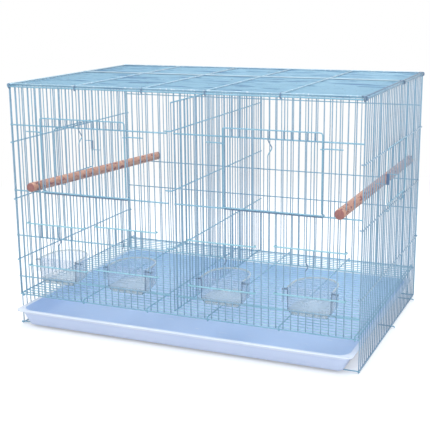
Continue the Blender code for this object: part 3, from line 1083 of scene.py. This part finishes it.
def cupRing(middle, height, share, wall):
    halfWidth = feederCup["halfWidth"] * share - wall
    reach = feederCup["deep"] * share - 2 * wall
    near = front + feederCup["setBack"] + wall
    straight = near + reach * feederCup["straight"]
    bulge = near + reach - straight
    corner = max(feederCup["corner"] - wall, feederCup["innerCorner"])
    strip = feederCup["strip"]
    low, high = near + corner + strip, straight - strip
    ring = []
    for step in range(feederCup["roundSteps"] + 1):
        turn = pi * step / feederCup["roundSteps"]
        ring.append((middle + halfWidth * cos(turn), straight + bulge * sin(turn), height))
    ring += [(middle - halfWidth, high, height), (middle - halfWidth, low, height)]
    for start, x in ((180, middle - halfWidth + corner), (270, middle + halfWidth - corner)):
        for step in range(5):
            turn = radians(start + 90 * step / 4)
            ring.append((x + corner * cos(turn), near + corner + corner * sin(turn), height))
        if start == 180:
            ring += [(x + strip, near, height), (2 * middle - x - strip, near, height)]
    ring += [(middle + halfWidth, low, height), (middle + halfWidth, high, height)]
    return ring


# an ear on a cup's side wall, which reaches behind the jamb wire and turns round it
def cupEar(middle, jamb, way):
    post = across(jamb)
    wallX = middle + way * (feederCup["halfWidth"] * 0.982 - feederCup["wall"] / 2)
    behind, deepest, ahead = front + 0.0022, front + 0.0044, front - 0.0010
    past, tip = post + way * 0.0014, post + way * 0.0024
    outline = [
        (wallX, behind),
        (wallX, deepest),
        (tip - way * 0.0008, deepest),
        (tip, deepest - 0.0008),
        (tip, ahead),
        (past, ahead),
        (past, behind),
    ]
    if way > 0:
        outline.reverse()
    middleX = sum(x for x, y in outline) / len(outline)
    middleY = sum(y for x, y in outline) / len(outline)
    low, high = feederCup["ear"]
    taper = feederCup["earTaper"]
    levels = ((low, taper), (low + 0.0008, 0), (high - feederCup["earHook"], 0), (high - 0.0006, 0), (high, taper))
    rings = []
    for height, inset in levels:
        rings.append([(x + (middleX - x) * inset, y + (middleY - y) * inset, height) for x, y in outline])
    points, faces = loft(rings)
    corners = 2 * len(outline)
    return points, faces, [0] * corners + [1] * corners + [0, 1]  # sides up to the hook, hook, bottom and top


def makeCup(number):
    left, right = feederJambs[number]
    middle = (across(left) + across(right)) / 2 + feederCup["shifts"][number]
    profile, bead = feederCup["profile"], feederCup["bead"]
    wall = feederCup["wall"]
    floor = profile[0][0] + wall
    rings = [cupRing(middle, height, share, 0) for height, share in profile + bead]
    rings.append(cupRing(middle, bead[1][0], 1.0, wall * 1.1))
    rings.append(cupRing(middle, bead[0][0] - 0.0004, 1.0, wall * 1.25))
    rings += [cupRing(middle, max(height, floor), share, wall) for height, share in reversed(profile[1:-1])]
    points, faces = loft(rings)
    slots = []
    for level in range(len(rings) - 1):
        atRim = len(profile) - 1 <= level <= len(profile) + 2
        atBase = level < 2 or level > len(rings) - 4
        for turn in range(len(rings[0])):
            rim = atRim and turn not in feederCup["frontTurns"]
            # painted shade: the front corners take the dark edge plastic
            dark = turn in feederCup["darkTurns"] and level < len(profile) + 1
            slots.append(2 if rim else 1 if dark else 3 if atBase else 0)
    slots += [3, 3]
    for jamb, way in ((left, -1), (right, 1)):
        earPoints, earFaces, earSlots = cupEar(middle, jamb, way)
        shift = len(points)
        points += earPoints
        faces += [tuple(corner + shift for corner in face) for face in earFaces]
        slots += earSlots
    node = "feeder_cup_%d" % (number + 1)
    name = "feederCup%d" % (number + 1)
    return finishPiece(name, points, faces, clearPlastics, node, (node,), slots)


perch = {
    "radius": 0.0080,
    "sides": 28,
    "stations": 40,
    "neck": 0.0045,
    "groove": 0.0018,
    "rough": 0.022,
    "grain": (2.2, 55),  # round the perch and along it
    "end": 0.0150,
    "endBack": 0.0060,
    "sawn": ((0.0, 0.84), (0.0004, 0.95), (0.0014, 1.0)),  # how far in, and the radius's share there
    # gap and height at the front, then at the back
    "ends": {"left": (3.5, 0.2515, 5.5, 0.2380), "right": (47.5, 0.2515, 48.5, 0.2620)},
}


def makePerch(label, gapFront, heightFront, gapBack, heightBack):
    node = "perch_" + label
    start = Vector((across(gapFront), front, heightFront))
    end = Vector((across(gapBack), back, heightBack))
    grain, grainAlong = perch["grain"]

    def ring(y, share, narrow=False):
        centre = start.lerp(end, (y - front) / (back - front))
        points = []
        for step in range(perch["sides"]):
            turn = tau * (step + 0.5) / perch["sides"]
            spot = Vector((cos(turn) * grain, y * grainAlong, sin(turn) * grain + gapFront))
            radius = perch["radius"] * share * (1 - perch["rough"] * max(0.0, noise.noise(spot)))
            x = radius * cos(turn)
            if narrow:
                x = max(-perch["neck"], min(perch["neck"], x))
            points.append((centre.x - x, y, centre.z + radius * sin(turn)))
        return points

    def grooved(y):
        groove = perch["groove"]
        moves = ((-0.0024, 1.0, False), (-groove, 0.985, True), (groove, 0.985, True), (0.0024, 1.0, False))
        return [ring(y + move, share, narrow) for move, share, narrow in moves]

    tip, tail = front - perch["end"], back + perch["endBack"]
    rings = [ring(tip + inward, share) for inward, share in perch["sawn"]]
    rings += grooved(front)
    for step in range(1, perch["stations"]):
        rings.append(ring(front + 0.006 + (back - front - 0.012) * step / perch["stations"], 1.0))
    rings += grooved(back)
    rings += [ring(tail - inward, share) for inward, share in reversed(perch["sawn"])]
    points, faces = loft(rings)
    slots = [1] * perch["sides"] + [0] * (len(faces) - 2 - perch["sides"]) + [1, 1]
    name = "perch" + label.capitalize()
    return finishPiece(name, points, faces, (perchWood, sawnEnd), node, (node,), slots)


tray = {
    "halfWidth": 0.3012,
    "front": -0.0275,
    "back": 0.4035,
    "rim": 0.0340,
    "lip": 0.0060,
    "lipThick": 0.0024,
    "low": 0.0050,
    "wall": 0.0024,
    "floor": 0.0025,
    "slopeFront": 0.0090,
    "slopeSide": 0.0122,
    "slopeBack": 0.0090,
    "corner": 0.0105,
    "innerCorner": 0.0210,  # the rim widens into the corners
    "footCorner": 0.0075,
    "cornerSteps": 9,
    "lightBand": 0.0048,  # painted highlight: the rim's paler plastic runs this far down the wall under the lip
    "rimLevels": range(3, 11),  # from the light band over the lip to the inner edge
}


def makeTray():
    right = tray["halfWidth"]
    near, far = front + tray["front"], front + tray["back"]
    rim, low, lip = tray["rim"], tray["low"], tray["lip"]
    under, wide, foot = rim - tray["lipThick"], tray["innerCorner"], tray["footCorner"]
    inner, floor = lip + tray["wall"], low + tray["floor"]

    def ring(inset, height, slope=0.0, corner=tray["corner"]):
        edge = right - inset - slope * tray["slopeSide"]
        nearEdge = near + inset + slope * tray["slopeFront"]
        farEdge = far - inset - slope * tray["slopeBack"]
        return roundedRing(-edge, edge, nearEdge, farEdge, corner, height, tray["cornerSteps"])

    rings = [
        ring(lip + 0.0016, low, 1.0, foot * 0.90),
        ring(lip + 0.0004, low + 0.0004, 0.99, foot * 0.97),
        ring(lip, low + 0.0014, 0.965, foot),
        ring(lip, under - tray["lightBand"], 0.19),
        ring(lip, under - 0.0006, 0.03),
        ring(lip - 0.0006, under),
        ring(0.0005, under),
        ring(0.0, under + 0.0004),
        ring(0.0, rim - 0.0004),
        ring(0.0005, rim),
        ring(lip + 0.0008, rim, 0.0, wide),
        ring(lip + 0.0018, rim - 0.0004, 0.0, wide),
        ring(inner, rim - 0.0018, 0.01, wide * 0.98),
        ring(inner, floor + 0.0085, 0.76, wide * 0.9),
        ring(inner + 0.0007, floor + 0.0045, 0.89, wide * 0.85),
        ring(inner + 0.0026, floor + 0.0016, 0.97, wide * 0.8),
        ring(inner + 0.0056, floor + 0.0003, 1.0, wide * 0.8),
        ring(inner + 0.0085, floor, 1.0, wide * 0.8),
    ]
    points, faces = loft(rings)
    slots = []
    for level in range(len(rings) - 1):
        slot = 1 if level in tray["rimLevels"] else 2 if level > tray["rimLevels"][-1] else 0
        slots += [slot] * len(rings[0])
    slots += [0, 2]
    plastics = (trayPlastic, trayRim, trayInside)
    return finishPiece("trayShell", points, faces, plastics, "tray", ("tray",), slots)


for number in range(4):
    makeCup(number)
for label, ends in perch["ends"].items():
    makePerch(label, *ends)
makeTray()
print("cups, perches and tray are in")

studio = {
    "ambient": (0.93, 0.96, 1.0, 1),
    "ambientStrength": 0.66,
    "white": (1, 1, 1, 1),
    "floorTone": (0.80, 0.81, 0.82, 1),
    "floorLift": 0.31,
    "floorHalf": 9.0,
    "floorHeight": -0.0004,
    "fade": (0.55, 1.35),
    "aim": (0, 0, 0.18),
    "lamps": (  # name, place, size, watts, colour
        ("keyLamp", (-0.9, -2.1, 2.4), 1.8, 27.0, (1.0, 0.99, 0.97)),
        ("topLamp", (0.2, 0.1, 2.6), 1.6, 36.0, (1.0, 1.0, 1.0)),
        ("fillLamp", (2.3, -1.6, 1.2), 1.8, 20.0, (0.96, 0.98, 1.0)),
    ),
}


def mixShaders(tree, share, first, second):
    mix = addNode(tree, "ShaderNodeMixShader")
    for number, value in enumerate((share, first, second)):
        tree.links.new(value, mix.inputs[number])
    return mix.outputs[0]


def lightWorld():
    world = bpy.data.worlds.new("studioWorld")
    bpy.context.scene.world = world
    world.use_nodes = True
    tree = world.node_tree
    ground = tree.nodes["Background"]
    ground.inputs["Color"].default_value = studio["ambient"]
    ground.inputs["Strength"].default_value = studio["ambientStrength"]
    white = addNode(tree, "ShaderNodeBackground", Color=studio["white"], Strength=1.0)
    rays = addNode(tree, "ShaderNodeLightPath")
    seen = rays.outputs["Is Camera Ray"]
    for label in ("Is Glossy Ray", "Is Transmission Ray"):
        seen = combine(tree, "MAXIMUM", seen, rays.outputs[label])
    surface = mixShaders(tree, seen, ground.outputs[0], white.outputs[0])
    tree.links.new(surface, tree.nodes["World Output"].inputs["Surface"])


# floor: keeps the shadow near the cage and fades to white away from it
def layFloor():
    half, level = studio["floorHalf"], studio["floorHeight"]
    corners = [(-half, -half, level), (half, -half, level), (half, half, level), (-half, half, level)]
    mesh = bpy.data.meshes.new("studioFloor")
    mesh.from_pydata(corners, [], [(0, 1, 2, 3)])
    floor = bpy.data.objects.new("studioFloor", mesh)
    bpy.context.scene.collection.objects.link(floor)
    material, tree, shader = newMaterial("studioFloor")
    mesh.materials.append(material)
    shader.inputs["Base Color"].default_value = studio["floorTone"]
    shader.inputs["Roughness"].default_value = 0.9
    shader.inputs["Specular IOR Level"].default_value = 0.1
    rays = addNode(tree, "ShaderNodeLightPath")
    raised = combine(tree, "MULTIPLY", rays.outputs["Is Camera Ray"], studio["floorLift"])
    lift = addNode(tree, "ShaderNodeEmission", Color=studio["white"], Strength=raised)
    added = addNode(tree, "ShaderNodeAddShader")
    tree.links.new(shader.outputs[0], added.inputs[0])
    tree.links.new(lift.outputs[0], added.inputs[1])
    white = addNode(tree, "ShaderNodeEmission", Color=studio["white"], Strength=1.0)
    place = addNode(tree, "ShaderNodeTexCoord")
    length = addNode(tree, "ShaderNodeVectorMath", {"operation": "LENGTH"})
    tree.links.new(place.outputs["Object"], length.inputs[0])
    fade = addNode(
        tree,
        "ShaderNodeMapRange",
        {"interpolation_type": "SMOOTHSTEP"},
        Value=length.outputs["Value"],
        From_Min=studio["fade"][0],
        From_Max=studio["fade"][1],
    )
    surface = mixShaders(tree, fade.outputs["Result"], added.outputs[0], white.outputs[0])
    tree.links.new(surface, tree.nodes["Material Output"].inputs["Surface"])


def hangLamps():
    for name, place, size, watts, colour in studio["lamps"]:
        lamp = bpy.data.lights.new(name, "AREA")
        lamp.shape = "SQUARE"
        lamp.size = size
        lamp.energy = watts
        lamp.color = colour
        holder = bpy.data.objects.new(name, lamp)
        holder.location = place
        holder.rotation_euler = (Vector(studio["aim"]) - Vector(place)).to_track_quat("-Z", "Y").to_euler()
        bpy.context.scene.collection.objects.link(holder)


# camera fitted to the photograph's wires
view = {
    "place": (0.6398, -1.512775, 0.5772),
    "yaw": 23.379,
    "pitch": 13.579,
    "roll": -0.567,
    "focal": 942.39,
    "frame": 430,
    "sensor": 36.0,
}


def makeCamera():
    yaw, pitch, roll = (radians(view[key]) for key in ("yaw", "pitch", "roll"))
    ahead = Vector((-sin(yaw) * cos(pitch), cos(yaw) * cos(pitch), -sin(pitch)))
    right = Vector((cos(yaw), sin(yaw), 0))
    up = right.cross(ahead)
    turnedRight = right * cos(roll) + up * sin(roll)
    turnedUp = up * cos(roll) - right * sin(roll)
    data = bpy.data.cameras.new("photoCamera")
    data.sensor_width = view["sensor"]
    data.lens = view["focal"] / view["frame"] * view["sensor"]
    camera = bpy.data.objects.new("photoCamera", data)
    basis = Matrix((turnedRight, turnedUp, -ahead)).transposed().to_4x4()
    basis.translation = Vector(view["place"])
    camera.matrix_world = basis
    bpy.context.scene.collection.objects.link(camera)
    bpy.context.scene.camera = camera


lightWorld()
layFloor()
hangLamps()
makeCamera()
bpy.context.scene.view_settings.view_transform = "Standard"
print("the studio is lit")
